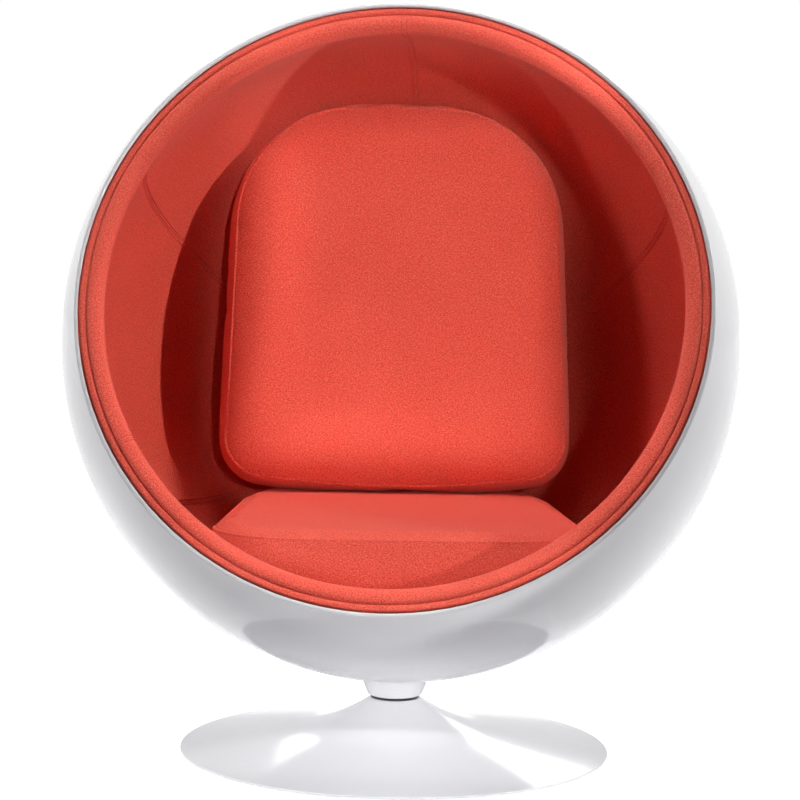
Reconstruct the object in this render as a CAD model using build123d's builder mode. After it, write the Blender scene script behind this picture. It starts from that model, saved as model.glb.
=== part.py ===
"""Ball chair: a lined shell ball that turns on a round trumpet foot, with two loose cushions.

Frame: +Z up, the origin on the floor under the swivel axis, the mouth of the ball facing -Y.
All sizes are in millimetres and all angles in degrees.
"""

import os
from math import acos, cos, degrees, radians, sin, sqrt, tan

from build123d import *

os.makedirs("parts", exist_ok=True)

# Clearances
GLUE_GAP = 0.3
SEAT_GAP = 0.3
RUNNING_GAP = 0.05
PRESS_GAP = 0.02
BOLT_GAP = 0.25
RACE_GAP = 1.0

# How near a size has to be for an edge or a face to be picked by it
PICK = 0.01

# Ball shell
BALL_DIAMETER = 1080.0
SHELL_WALL = 7.0
MOUTH_TILT = 21.0
MOUTH_OFFSET = 230.0
RIM_ROUND = 3.0

# Padded liner: sewn gores round the mouth and a dish behind them
LINER_THICKNESS = 41.7
PANEL_COUNT = 6
FIRST_SEAM = 30.0
DISH_ANGLE = 134.0
SEAM_ROUND = 3.5
LIP_ROUND = 18.0
LIP_PROUD = 2.0

# Flat welt between the lip of the liner and the rim of the shell
WELT_WIDTH = 10.4
WELT_DEPTH = 8.5
WELT_GAP = 0.6
WELT_ROUND = 4.0

# Cushions
CUSHION_TURN = 5.0
COVER_THICKNESS = 2.5
SEAT_WIDTH = 548.0
SEAT_REAR_WIDTH = 486.0
SEAT_DEPTH = 580.0
SEAT_BOXING = 137.0
SEAT_CROWN = 9.0
SEAT_FRONT_BOW = 10.0
SEAT_FRONT_CORNER = 55.0
SEAT_REAR_CORNER = 150.0
BACK_WIDTH = 564.0
BACK_TOP_WIDTH = 524.0
BACK_HEIGHT = 640.0
BACK_LIFT = 12.0
BACK_BOXING = 120.0
BACK_CROWN = 20.0
BACK_TOP_BOW = 34.0
BACK_BOTTOM_BOW = 26.0
BACK_TOP_CORNER = 205.0
BACK_BOTTOM_CORNER = 70.0
BACK_RECLINE = 11.0
BACK_BEARING = 12.0
BOXING_SWELL = 10.0
REAR_DRAW = 26.0
CROWN_REACH = 92.0
BOXING_STEPS = (0, 0.25, 0.5, 0.75, 1)
CROWN_STEPS = (0, 0.33, 0.66, 1)

# Trumpet foot
FOOT_DIAMETER = 692.0
FOOT_SHEET = 4.0
RIM_HEIGHT = 5.5
RIM_SLOPE = 9.5
FLARE_DIAMETER = 334.0
NECK_DIAMETER = 81.0
NECK_HEIGHT = 87.0
NECK_ROUND = 1.5
BALLAST_THICKNESS = 10.0
BALLAST_LIFT = 4.0
FLOOR_RING_WIDTH = 16.0
FLOOR_RING_INSET = 14.0

# Swivel
COLUMN_DIAMETER = 72.0
COLUMN_WALL = 14.0
COLUMN_FOOT_DIAMETER = 130.0
COLUMN_FOOT_THICKNESS = 6.0
SPINDLE_DIAMETER = 35.0
BOSS_DIAMETER = 52.0
FLANGE_DIAMETER = 84.0
FLANGE_THICKNESS = 8.0
WELD_LEG = 3.0
BUSH_LENGTH = 14.0
RACE_DIAMETER = 62.0
RACE_THICKNESS = 6.0
BALL_CIRCLE = 49.0
BEARING_BALL = 8.0
BEARING_BALL_COUNT = 12
GROOVE_DEPTH = 1.75
ROLLING_GAP = 0.3
CAGE_THICKNESS = 2.5
CAGE_WIDTH = 11.5
BEARING_DROP = 7.0
RETAINER_DIAMETER = 42.0
RETAINER_THICKNESS = 4.0
END_FLOAT = 0.5
SEAL_DIAMETER = 77.0
SEAL_LIFT = 0.5
SEAL_THICKNESS = 3.0

# Collar and ball mounting
COLLAR_GAP = 4.0
COLLAR_HEIGHT = 29.0
COLLAR_TOP_DIAMETER = 110.0
COLLAR_BOTTOM_DIAMETER = 86.0
COLLAR_WALL = 4.0
COLLAR_LEDGE = 4.0
COLLAR_ROUND = 6.0
SADDLE_THICKNESS = 6.0
PAD_DIAMETER = 200.0
PAD_THICKNESS = 14.0
PLATE_DIAMETER = 190.0
PLATE_THICKNESS = 6.0
POCKET_GAP = 1.0

# Fasteners
SHELL_BOLT = 8.0
SHELL_BOLT_COUNT = 4
SHELL_BOLT_CIRCLE = 64.0
BASE_SCREW = 8.0
BASE_SCREW_COUNT = 6
BASE_SCREW_CIRCLE = 102.0
RETAINER_BOLT = 10.0
RETAINER_BOLT_REACH = 22.0
HEAD_RATIO = 1.7
HEAD_HEIGHT_RATIO = 0.55

# Radii of the ball
ball_radius = BALL_DIAMETER / 2
shell_inner = ball_radius - SHELL_WALL
liner_outer = shell_inner - GLUE_GAP
liner_inner = liner_outer - LINER_THICKNESS

# Heights of the stack, from the floor up
foot_radius = FOOT_DIAMETER / 2
neck_radius = NECK_DIAMETER / 2
column_top = NECK_HEIGHT - FOOT_SHEET
ballast_top = BALLAST_LIFT + BALLAST_THICKNESS
race_seat = column_top - BEARING_DROP - 2 * RACE_THICKNESS - BEARING_BALL + 2 * GROOVE_DEPTH
lower_race_top = race_seat + RACE_THICKNESS
bearing_centre = lower_race_top + BEARING_BALL / 2 - GROOVE_DEPTH
upper_race_bottom = bearing_centre + BEARING_BALL / 2 - GROOVE_DEPTH
boss_bottom = upper_race_bottom + RACE_THICKNESS
collar_bottom = NECK_HEIGHT + COLLAR_GAP
ball_bottom = collar_bottom + COLLAR_HEIGHT
ball_centre = ball_bottom + ball_radius
flange_top = ball_bottom - SADDLE_THICKNESS
flange_bottom = flange_top - FLANGE_THICKNESS
pad_top = ball_bottom + SHELL_WALL + PAD_THICKNESS
plate_top = pad_top + PLATE_THICKNESS
bolt_head_top = plate_top + SHELL_BOLT * HEAD_HEIGHT_RATIO
bush_bottom = ballast_top + COLUMN_FOOT_THICKNESS + RETAINER_THICKNESS + END_FLOAT
spindle_bottom = bush_bottom - END_FLOAT

# Frame of the mouth: X to the right, Y up along the rim's plane, Z out along its axis
mouth = Plane(
    origin=(0, 0, ball_centre),
    x_dir=(1, 0, 0),
    z_dir=(0, -cos(radians(MOUTH_TILT)), sin(radians(MOUTH_TILT))),
)
mouth_axis = Axis(mouth.origin, mouth.z_dir)
upright = Plane.XZ


def gore_plane(angle):
    """Half plane through the mouth's axis: sketch X runs out from the axis, sketch Y along it."""
    turn = radians(angle)
    return Plane(
        origin=mouth.origin,
        x_dir=cos(turn) * mouth.x_dir + sin(turn) * mouth.y_dir,
        z_dir=sin(turn) * mouth.x_dir - cos(turn) * mouth.y_dir,
    )


def from_axis(radius, angle):
    """Point at a distance from the ball's centre and an angle from the mouth's axis."""
    return (radius * sin(radians(angle)), radius * cos(radians(angle)))


def meridian(radius, start, end):
    """Arc about the ball's centre between two angles from the mouth's axis."""
    middle = (start + end) / 2
    return ThreePointArc(from_axis(radius, start), from_axis(radius, middle), from_axis(radius, end))


def ball_height(radius, out):
    """Height of the lower side of a ball of this radius at a distance from the swivel axis."""
    return ball_centre - sqrt(radius**2 - out**2)


def rim_angle(radius):
    """Angle from the mouth's axis at which a ball of this radius meets the rim's plane."""
    return degrees(acos(MOUTH_OFFSET / radius))


# Ball shell: one moulded wall with a rounded rim and holes for its mounting bolts
with BuildPart() as outer_shell:
    with BuildSketch(gore_plane(0)) as wall:
        with BuildLine():
            meridian(ball_radius, rim_angle(ball_radius), 180)
            Line((0, -ball_radius), (0, -shell_inner))
            meridian(shell_inner, 180, rim_angle(shell_inner))
            Line(*[from_axis(radius, rim_angle(radius)) for radius in (shell_inner, ball_radius)])
        make_face()
        fillet(wall.vertices().group_by(Axis.Y)[-1], RIM_ROUND)
    revolve(axis=mouth_axis)
    with BuildSketch(Plane.XY):
        with PolarLocations(SHELL_BOLT_CIRCLE / 2, SHELL_BOLT_COUNT):
            Circle(SHELL_BOLT / 2 + BOLT_GAP)
    extrude(amount=ball_centre, mode=Mode.SUBTRACT)
outer_shell.part.label = "outer_shell"
export_step(outer_shell.part, "parts/outer_shell.step")

# Section of the liner's lip: a bullnose that rolls from the wall over to the welt's groove
lip_front = MOUTH_OFFSET + LIP_PROUD
lip_centre = lip_front - LIP_ROUND
lip_radius = sqrt((liner_inner + LIP_ROUND) ** 2 - lip_centre**2)
lip_angle = degrees(acos(lip_centre / (liner_inner + LIP_ROUND)))
welt_outer = sqrt(shell_inner**2 - MOUTH_OFFSET**2) - WELT_GAP
welt_inner = welt_outer - WELT_WIDTH
groove_wall = welt_inner - SEAT_GAP
groove_floor = MOUTH_OFFSET - WELT_DEPTH
groove_angle = degrees(acos(groove_floor / liner_outer))
shoulder = groove_wall - lip_radius
shoulder_centre = lip_front - shoulder


def on_lip(centre, radius, angle):
    """Point on a round of the lip, at an angle turned inwards from straight out of the mouth."""
    return (lip_radius - radius * sin(radians(angle)), centre + radius * cos(radians(angle)))


def lip_arc(centre, radius, start, end):
    """Round of the lip between two such angles."""
    points = [on_lip(centre, radius, angle) for angle in (start, (start + end) / 2, end)]
    return ThreePointArc(*points)


def on_seam(edge):
    """Whether an edge of a gore's end runs along its fabric side, over the lip and back down the wall."""
    reach = (edge @ 0.5 - mouth.origin).length
    return edge.geom_type == GeomType.CIRCLE and reach < liner_inner + LIP_ROUND


def across_mouth(face):
    """Whether a face is the flat end of a gore."""
    return face.geom_type == GeomType.PLANE and abs(face.normal_at().dot(mouth.z_dir)) < PICK


def mount_pocket():
    """Room under the liner for the pad, plate and bolt heads of the mounting, cut from the open part."""
    with BuildSketch(Plane.XY.offset(ball_bottom)) as pocket:
        Circle(PAD_DIAMETER / 2 + POCKET_GAP)
    extrude(to_extrude=pocket.sketch, amount=bolt_head_top + POCKET_GAP - ball_bottom, mode=Mode.SUBTRACT)


# Liner gores, drawn in along the seams where they meet
panel_arc = 360 / PANEL_COUNT
for panel in range(PANEL_COUNT):
    with BuildPart() as liner_panel:
        with BuildSketch(gore_plane(FIRST_SEAM + panel * panel_arc)):
            with BuildLine():
                meridian(liner_outer, DISH_ANGLE, groove_angle)
                Line(from_axis(liner_outer, groove_angle), (groove_wall, groove_floor))
                Line((groove_wall, groove_floor), (groove_wall, shoulder_centre))
                lip_arc(shoulder_centre, shoulder, -90, 0)
                lip_arc(lip_centre, LIP_ROUND, 0, 180 - lip_angle)
                meridian(liner_inner, lip_angle, DISH_ANGLE)
                Line(from_axis(liner_inner, DISH_ANGLE), from_axis(liner_outer, DISH_ANGLE))
            make_face()
        revolve(axis=mouth_axis, revolution_arc=panel_arc)
        fillet(liner_panel.faces().filter_by(across_mouth).edges().filter_by(on_seam), SEAM_ROUND)
        mount_pocket()
    liner_panel.part.label = f"liner_panel_{panel + 1}"
    export_step(liner_panel.part, f"parts/liner_panel_{panel + 1}.step")

# Liner dish behind the gores
with BuildPart() as liner_dish:
    with BuildSketch(gore_plane(0)) as dish:
        with BuildLine():
            meridian(liner_outer, DISH_ANGLE, 180)
            Line((0, -liner_outer), (0, -liner_inner))
            meridian(liner_inner, 180, DISH_ANGLE)
            Line(from_axis(liner_inner, DISH_ANGLE), from_axis(liner_outer, DISH_ANGLE))
        make_face()
        fillet(dish.vertices().sort_by(Axis.Y)[-1], SEAM_ROUND)
    revolve(axis=mouth_axis)
    mount_pocket()
liner_dish.part.label = "liner_dish"
export_step(liner_dish.part, "parts/liner_dish.step")

# Welt ring that lies in the groove between lip and rim
with BuildPart() as rim_welt:
    with BuildSketch(gore_plane(0)) as band:
        with Locations((welt_inner, groove_floor + SEAT_GAP)):
            Rectangle(WELT_WIDTH, WELT_DEPTH, align=(Align.MIN, Align.MIN))
        fillet(band.vertices().group_by(Axis.Y)[-1], WELT_ROUND)
    revolve(axis=mouth_axis)
rim_welt.part.label = "rim_welt"
export_step(rim_welt.part, "parts/rim_welt.step")

# Loose cushions: a boxed body with swelling sides under a crowned panel, resting on the liner
cushion_plane = Plane.XY.rotated((0, 0, CUSHION_TURN))
seat_floor = ball_height(liner_inner, SEAT_WIDTH / 2)
seat_seam = seat_floor + SEAT_BOXING
seat_top = seat_seam + SEAT_CROWN
liner_seat = liner_inner - SEAT_GAP


def boxing_inset(step):
    """How far the boxing lies inside the seam line, from the drawn-in rear edge to the seam."""
    return REAR_DRAW * (1 - step) ** 3 - BOXING_SWELL * sin(radians(180 * step))


def fill_cushion(outline, floor, boxing, crown, shrink):
    """Boxing and crowned panel of a cushion, drawn in all round by shrink."""
    sides = []
    for step in BOXING_STEPS:
        sides.append(outline(floor + shrink + step * (boxing - shrink), boxing_inset(step) + shrink))
    loft(sides)
    panel = []
    for step in CROWN_STEPS:
        rise = 1 - (1 - step) ** 2
        panel.append(outline(floor + boxing + rise * (crown - shrink), step * CROWN_REACH + shrink))
    loft(panel)


def seat_outline(height, inset):
    """Plan of the seat cushion at a height, drawn in from its seam line."""
    front_half = SEAT_WIDTH / 2 - inset
    rear_half = SEAT_REAR_WIDTH / 2 - inset
    end = SEAT_DEPTH / 2 - inset
    with BuildSketch(cushion_plane.offset(height)) as outline:
        with BuildLine():
            ThreePointArc((-front_half, -end), (0, -end - SEAT_FRONT_BOW), (front_half, -end))
            Line((front_half, -end), (rear_half, end))
            Line((rear_half, end), (-rear_half, end))
            Line((-rear_half, end), (-front_half, -end))
        make_face()
        fillet(outline.vertices().group_by(Axis.Y)[0], SEAT_FRONT_CORNER * 2 * front_half / SEAT_WIDTH)
        fillet(outline.vertices().group_by(Axis.Y)[-1], SEAT_REAR_CORNER * 2 * rear_half / SEAT_REAR_WIDTH)
    return outline.sketch.face()


def seat_solid(shrink):
    """Seat cushion, cut to the liner's curve where it rests on it."""
    with BuildPart() as solid:
        fill_cushion(seat_outline, seat_floor, SEAT_BOXING, SEAT_CROWN, shrink)
        with Locations(mouth.origin):
            Sphere(liner_seat - shrink, mode=Mode.INTERSECT)
    return solid.part


with BuildPart() as seat_cushion_cover:
    add(seat_solid(0))
    add(seat_solid(COVER_THICKNESS), mode=Mode.SUBTRACT)
seat_cushion_cover.part.label = "seat_cushion_cover"
export_step(seat_cushion_cover.part, "parts/seat_cushion_cover.step")

with BuildPart() as seat_cushion_foam:
    add(seat_solid(COVER_THICKNESS + SEAT_GAP))
seat_cushion_foam.part.label = "seat_cushion_foam"
export_step(seat_cushion_foam.part, "parts/seat_cushion_foam.step")

# The back cushion stands on the seat cushion and leans until its upper rear edge bears on the liner
recline = radians(BACK_RECLINE)
rear_rise = BACK_HEIGHT - REAR_DRAW
rear_out = rear_rise * sin(recline) + BACK_BOXING * cos(recline)
rear_up = rear_rise * cos(recline) - BACK_BOXING * sin(recline)
back_foot = seat_top + SEAT_GAP
back_seam = back_foot + BACK_LIFT
bearing_up = back_seam + rear_up - ball_centre
back_setback = sqrt((liner_inner + BACK_BEARING) ** 2 - bearing_up**2) - rear_out
back_plane = Plane(
    origin=cushion_plane.from_local_coords((0, back_setback, back_seam)),
    x_dir=cushion_plane.x_dir,
    z_dir=sin(recline) * cushion_plane.z_dir - cos(recline) * cushion_plane.y_dir,
)


def back_outline(depth, inset):
    """Face of the back cushion at a depth from its seam line, drawn in from that line."""
    half = BACK_WIDTH / 2 - inset
    top_half = BACK_TOP_WIDTH / 2 - inset
    foot = BACK_BOTTOM_BOW + inset
    head = BACK_HEIGHT - BACK_TOP_BOW - inset
    with BuildSketch(back_plane.offset(depth)) as outline:
        with BuildLine():
            ThreePointArc((-half, foot), (0, inset), (half, foot))
            Line((half, foot), (top_half, head))
            ThreePointArc((top_half, head), (0, head + BACK_TOP_BOW), (-top_half, head))
            Line((-top_half, head), (-half, foot))
        make_face()
        fillet(outline.vertices().group_by(Axis.Y)[0], BACK_BOTTOM_CORNER * 2 * half / BACK_WIDTH)
        fillet(outline.vertices().group_by(Axis.Y)[-1], BACK_TOP_CORNER * 2 * top_half / BACK_TOP_WIDTH)
    return outline.sketch.face()


def back_solid(shrink):
    """Back cushion, cut level where it stands on the seat and round where it leans on the liner."""
    with BuildPart() as solid:
        fill_cushion(back_outline, -BACK_BOXING, BACK_BOXING, BACK_CROWN, shrink)
        split(bisect_by=Plane.XY.offset(back_foot + shrink), keep=Keep.TOP)
        with Locations(mouth.origin):
            Sphere(liner_seat - shrink, mode=Mode.INTERSECT)
    return solid.part


with BuildPart() as back_cushion_cover:
    add(back_solid(0))
    add(back_solid(COVER_THICKNESS), mode=Mode.SUBTRACT)
back_cushion_cover.part.label = "back_cushion_cover"
export_step(back_cushion_cover.part, "parts/back_cushion_cover.step")

with BuildPart() as back_cushion_foam:
    add(back_solid(COVER_THICKNESS + SEAT_GAP))
back_cushion_foam.part.label = "back_cushion_foam"
export_step(back_cushion_foam.part, "parts/back_cushion_foam.step")


def ring(inner, outer, bottom, top):
    """Upright ring in the open part, between two radii and two heights."""
    with BuildSketch(Plane.XY.offset(bottom)) as face:
        Circle(outer)
        if inner > 0:
            Circle(inner, mode=Mode.SUBTRACT)
    extrude(to_extrude=face.sketch, amount=top - bottom)


def drill(diameter, circle, count, bottom, top):
    """Ring of upright holes through the open part."""
    with BuildSketch(Plane.XY.offset(bottom)) as holes:
        with PolarLocations(circle / 2, count):
            Circle(diameter / 2)
    extrude(to_extrude=holes.sketch, amount=top - bottom, mode=Mode.SUBTRACT)


def cap_screws(size, circle, count, head_bottom, head_top, end):
    """Cap screws on a circle, each a head between two heights and a shank that runs on to its end."""
    with BuildSketch(Plane.XY.offset(head_bottom)) as heads:
        with PolarLocations(circle / 2, count):
            Circle(size * HEAD_RATIO / 2)
    extrude(to_extrude=heads.sketch, amount=head_top - head_bottom)
    start = head_bottom if end < head_bottom else head_top
    with BuildSketch(Plane.XY.offset(start)) as shanks:
        with PolarLocations(circle / 2, count):
            Circle(size / 2)
    extrude(to_extrude=shanks.sketch, amount=end - start)


def circles(solid, radius, height):
    """Round edges of a part that have this radius and lie at this height."""
    level = solid.edges().filter_by_position(Axis.Z, height - PICK, height + PICK)
    return [edge for edge in level.filter_by(GeomType.CIRCLE) if abs(edge.radius - radius) < PICK]


shell_bolt_hole = SHELL_BOLT + 2 * BOLT_GAP

# Plywood pad bonded inside the shell, and the steel plate that spreads the load over it
with BuildPart() as mount_pad:
    ring(0, PAD_DIAMETER / 2, ball_bottom, pad_top)
    with Locations(mouth.origin):
        Sphere(liner_outer, mode=Mode.INTERSECT)
    drill(shell_bolt_hole, SHELL_BOLT_CIRCLE, SHELL_BOLT_COUNT, ball_bottom, pad_top)
mount_pad.part.label = "mount_pad"
export_step(mount_pad.part, "parts/mount_pad.step")

with BuildPart() as mount_plate:
    ring(0, PLATE_DIAMETER / 2, pad_top, plate_top)
    drill(shell_bolt_hole, SHELL_BOLT_CIRCLE, SHELL_BOLT_COUNT, pad_top, plate_top)
mount_plate.part.label = "mount_plate"
export_step(mount_plate.part, "parts/mount_plate.step")

with BuildPart() as shell_bolts:
    cap_screws(SHELL_BOLT, SHELL_BOLT_CIRCLE, SHELL_BOLT_COUNT, plate_top, bolt_head_top, flange_bottom)
shell_bolts.part.label = "shell_bolts"
export_step(shell_bolts.part, "parts/shell_bolts.step")

# Saddle: flat on the flange, hollowed to the ball
with BuildPart() as shell_saddle:
    ring(0, FLANGE_DIAMETER / 2, flange_top, ball_bottom + SADDLE_THICKNESS)
    with Locations(mouth.origin):
        Sphere(ball_radius + GLUE_GAP, mode=Mode.SUBTRACT)
    drill(shell_bolt_hole, SHELL_BOLT_CIRCLE, SHELL_BOLT_COUNT, flange_top, ball_bottom + SADDLE_THICKNESS)
shell_saddle.part.label = "shell_saddle"
export_step(shell_saddle.part, "parts/shell_saddle.step")

# Spindle: shaft, thrust boss and bolting flange welded into one
spindle_radius = SPINDLE_DIAMETER / 2
boss_radius = BOSS_DIAMETER / 2
flange_radius = FLANGE_DIAMETER / 2
retainer_bolt_hole = RETAINER_BOLT + 2 * BOLT_GAP
with BuildPart() as swivel_spindle:
    ring(0, spindle_radius, spindle_bottom, boss_bottom)
    ring(0, boss_radius, boss_bottom, flange_bottom)
    ring(0, flange_radius, flange_bottom, flange_top)
    fillet(circles(swivel_spindle, boss_radius, flange_bottom), WELD_LEG)
    drill(shell_bolt_hole, SHELL_BOLT_CIRCLE, SHELL_BOLT_COUNT, flange_bottom, flange_top)
    drill(retainer_bolt_hole, 0, 1, spindle_bottom, spindle_bottom + RETAINER_BOLT_REACH + BOLT_GAP)
swivel_spindle.part.label = "swivel_spindle"
export_step(swivel_spindle.part, "parts/swivel_spindle.step")

# Tapered collar that hides the flange: it hangs on a ledge under it and meets the ball above
ledge_top = flange_bottom - SEAT_GAP
ledge_bottom = ledge_top - COLLAR_LEDGE
collar_slope = (COLLAR_TOP_DIAMETER - COLLAR_BOTTOM_DIAMETER) / 2 / COLLAR_HEIGHT
collar_head = COLLAR_HEIGHT + SADDLE_THICKNESS


def collar_radius(rise):
    """Outer radius of the collar at a height above its lower edge."""
    return COLLAR_BOTTOM_DIAMETER / 2 + collar_slope * rise


with BuildPart() as hub_collar:
    with BuildSketch(upright) as section:
        with BuildLine():
            Polyline(
                (flange_radius + SEAT_GAP, collar_bottom + collar_head),
                (flange_radius + SEAT_GAP, ledge_top),
                (boss_radius + WELD_LEG, ledge_top),
                (boss_radius + WELD_LEG, ledge_bottom),
                (collar_radius(ledge_bottom - collar_bottom) - COLLAR_WALL, ledge_bottom),
                (collar_radius(0) - COLLAR_WALL - COLLAR_ROUND / 2, collar_bottom),
                (collar_radius(0), collar_bottom),
                (collar_radius(collar_head), collar_bottom + collar_head),
                close=True,
            )
        make_face()
        fillet(section.vertices().group_by(Axis.Y)[0].sort_by(Axis.X)[-1], COLLAR_ROUND)
    revolve(axis=Axis.Z)
    with Locations(mouth.origin):
        Sphere(ball_radius + SEAT_GAP, mode=Mode.SUBTRACT)
hub_collar.part.label = "hub_collar"
export_step(hub_collar.part, "parts/hub_collar.step")

# Black seal ring in the gap between the collar and the neck of the foot
seal_bottom = NECK_HEIGHT + SEAL_LIFT
with BuildPart() as swivel_seal:
    ring(boss_radius + PRESS_GAP, SEAL_DIAMETER / 2, seal_bottom, seal_bottom + SEAL_THICKNESS)
swivel_seal.part.label = "swivel_seal"
export_step(swivel_seal.part, "parts/swivel_seal.step")

# Thrust bearing: two grooved races, a cage and its balls
race_radius = RACE_DIAMETER / 2
groove_radius = BEARING_BALL / 2 + ROLLING_GAP


def groove():
    """Groove that the bearing balls run in, cut from the open part."""
    with BuildSketch(upright) as section:
        with Locations((BALL_CIRCLE / 2, bearing_centre)):
            Circle(groove_radius)
    revolve(profiles=section.sketch, axis=Axis.Z, mode=Mode.SUBTRACT)


with BuildPart() as bearing_lower_race:
    ring(spindle_radius + RACE_GAP, race_radius, race_seat, lower_race_top)
    groove()
bearing_lower_race.part.label = "bearing_lower_race"
export_step(bearing_lower_race.part, "parts/bearing_lower_race.step")

with BuildPart() as bearing_upper_race:
    ring(spindle_radius + PRESS_GAP, race_radius - RACE_GAP, upper_race_bottom, boss_bottom)
    groove()
bearing_upper_race.part.label = "bearing_upper_race"
export_step(bearing_upper_race.part, "parts/bearing_upper_race.step")

cage_bottom = bearing_centre - CAGE_THICKNESS / 2
cage_top = bearing_centre + CAGE_THICKNESS / 2
with BuildPart() as ball_cage:
    ring(BALL_CIRCLE / 2 - CAGE_WIDTH / 2, BALL_CIRCLE / 2 + CAGE_WIDTH / 2, cage_bottom, cage_top)
    drill(BEARING_BALL + 2 * BOLT_GAP, BALL_CIRCLE, BEARING_BALL_COUNT, cage_bottom, cage_top)
ball_cage.part.label = "ball_cage"
export_step(ball_cage.part, "parts/ball_cage.step")

with BuildPart() as bearing_balls:
    with Locations((0, 0, bearing_centre)):
        with PolarLocations(BALL_CIRCLE / 2, BEARING_BALL_COUNT):
            Sphere(BEARING_BALL / 2)
bearing_balls.part.label = "bearing_balls"
export_step(bearing_balls.part, "parts/bearing_balls.step")

# Bushes that guide the spindle in the column
bore_radius = COLUMN_DIAMETER / 2 - COLUMN_WALL
for name, bottom in (("lower_bush", bush_bottom), ("upper_bush", race_seat - BUSH_LENGTH)):
    with BuildPart() as bush:
        ring(spindle_radius + RUNNING_GAP, bore_radius - PRESS_GAP, bottom, bottom + BUSH_LENGTH)
    bush.part.label = name
    export_step(bush.part, f"parts/{name}.step")

# Retainer that keeps the spindle from lifting out of the column
retainer_bottom = spindle_bottom - RETAINER_THICKNESS
with BuildPart() as retaining_washer:
    ring(retainer_bolt_hole / 2, RETAINER_DIAMETER / 2, retainer_bottom, spindle_bottom)
retaining_washer.part.label = "retaining_washer"
export_step(retaining_washer.part, "parts/retaining_washer.step")

with BuildPart() as retaining_bolt:
    cap_screws(
        RETAINER_BOLT,
        0,
        1,
        retainer_bottom - RETAINER_BOLT * HEAD_HEIGHT_RATIO,
        retainer_bottom,
        spindle_bottom + RETAINER_BOLT_REACH,
    )
retaining_bolt.part.label = "retaining_bolt"
export_step(retaining_bolt.part, "parts/retaining_bolt.step")

# Column: a turned tube with a bolting foot and a seat for the bearing in its head
column_radius = COLUMN_DIAMETER / 2
foot_top = ballast_top + COLUMN_FOOT_THICKNESS
bearing_bore = race_radius + PRESS_GAP
base_screw_hole = BASE_SCREW + 2 * BOLT_GAP
with BuildPart() as base_column:
    ring(bore_radius, COLUMN_FOOT_DIAMETER / 2, ballast_top, foot_top)
    ring(bore_radius, column_radius, foot_top, race_seat)
    ring(bearing_bore, column_radius, race_seat, column_top)
    fillet(circles(base_column, column_radius, foot_top), WELD_LEG)
    drill(base_screw_hole, BASE_SCREW_CIRCLE, BASE_SCREW_COUNT, ballast_top, foot_top)
base_column.part.label = "base_column"
export_step(base_column.part, "parts/base_column.step")

# Foot: a spun sheet cone whose neck sweeps up to a flat land on the column's head
slope = radians(RIM_SLOPE)
sheet_drop = FOOT_SHEET / cos(slope)
flare_radius = FLARE_DIAMETER / 2
flare_height = RIM_HEIGHT + (foot_radius - flare_radius) * tan(slope)
up_the_cone = (-cos(slope), sin(slope))


def under_foot(radius):
    """Height of the underside of the foot's cone at a distance from the axis."""
    return RIM_HEIGHT + (foot_radius - radius) * tan(slope) - sheet_drop


with BuildPart() as foot_cone:
    with BuildSketch(upright) as sheet:
        with BuildLine():
            Line((foot_radius, under_foot(foot_radius)), (foot_radius, RIM_HEIGHT))
            Line((foot_radius, RIM_HEIGHT), (flare_radius, flare_height))
            TangentArc((flare_radius, flare_height), (neck_radius, NECK_HEIGHT), tangent=up_the_cone)
            Polyline(
                (neck_radius, NECK_HEIGHT),
                (bearing_bore, NECK_HEIGHT),
                (bearing_bore, column_top),
                (neck_radius - FOOT_SHEET / 2, column_top),
            )
            TangentArc(
                (flare_radius, under_foot(flare_radius)),
                (neck_radius - FOOT_SHEET / 2, column_top),
                tangent=up_the_cone,
            )
            Line((flare_radius, under_foot(flare_radius)), (foot_radius, under_foot(foot_radius)))
        make_face()
        fillet(sheet.vertices().group_by(Axis.X)[-1], NECK_ROUND)
        fillet(sheet.vertices().group_by(Axis.Y)[-1].sort_by(Axis.X)[-1], NECK_ROUND)
    revolve(axis=Axis.Z)
foot_cone.part.label = "foot_cone"
export_step(foot_cone.part, "parts/foot_cone.step")

# Ballast disc under the cone: its upper edge seats against the cone
ballast_radius = foot_radius - (ballast_top + SEAT_GAP + sheet_drop - RIM_HEIGHT) / tan(slope)
screw_head = BASE_SCREW * HEAD_HEIGHT_RATIO
head_recess = BASE_SCREW * HEAD_RATIO + 2 * BOLT_GAP
with BuildPart() as ballast_disc:
    ring(bore_radius, ballast_radius, BALLAST_LIFT, ballast_top)
    drill(base_screw_hole, BASE_SCREW_CIRCLE, BASE_SCREW_COUNT, BALLAST_LIFT, ballast_top)
    drill(head_recess, BASE_SCREW_CIRCLE, BASE_SCREW_COUNT, BALLAST_LIFT, BALLAST_LIFT + screw_head)
ballast_disc.part.label = "ballast_disc"
export_step(ballast_disc.part, "parts/ballast_disc.step")

with BuildPart() as base_screws:
    cap_screws(
        BASE_SCREW,
        BASE_SCREW_CIRCLE,
        BASE_SCREW_COUNT,
        BALLAST_LIFT,
        BALLAST_LIFT + screw_head,
        foot_top,
    )
base_screws.part.label = "base_screws"
export_step(base_screws.part, "parts/base_screws.step")

# Rubber ring that the foot stands on
ring_outer = foot_radius - FLOOR_RING_INSET
ring_inner = ring_outer - FLOOR_RING_WIDTH
with BuildPart() as floor_ring:
    with BuildSketch(upright):
        with BuildLine():
            Polyline(
                (ring_inner, 0),
                (ring_outer, 0),
                (ring_outer, under_foot(ring_outer) - SEAT_GAP),
                (ring_inner, under_foot(ring_inner) - SEAT_GAP),
                close=True,
            )
        make_face()
    revolve(axis=Axis.Z)
floor_ring.part.label = "floor_ring"
export_step(floor_ring.part, "parts/floor_ring.step")
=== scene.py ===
"""Looks of the ball chair: upholstered liner, sewn cushions, gelcoat shell and painted foot.

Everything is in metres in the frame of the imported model: +Z up, the mouth of the ball facing -Y.
"""

from math import acos, atan2, cos, pi, radians, sin, sqrt

import bpy
import numpy as np
from mathutils import Matrix, Vector


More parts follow.
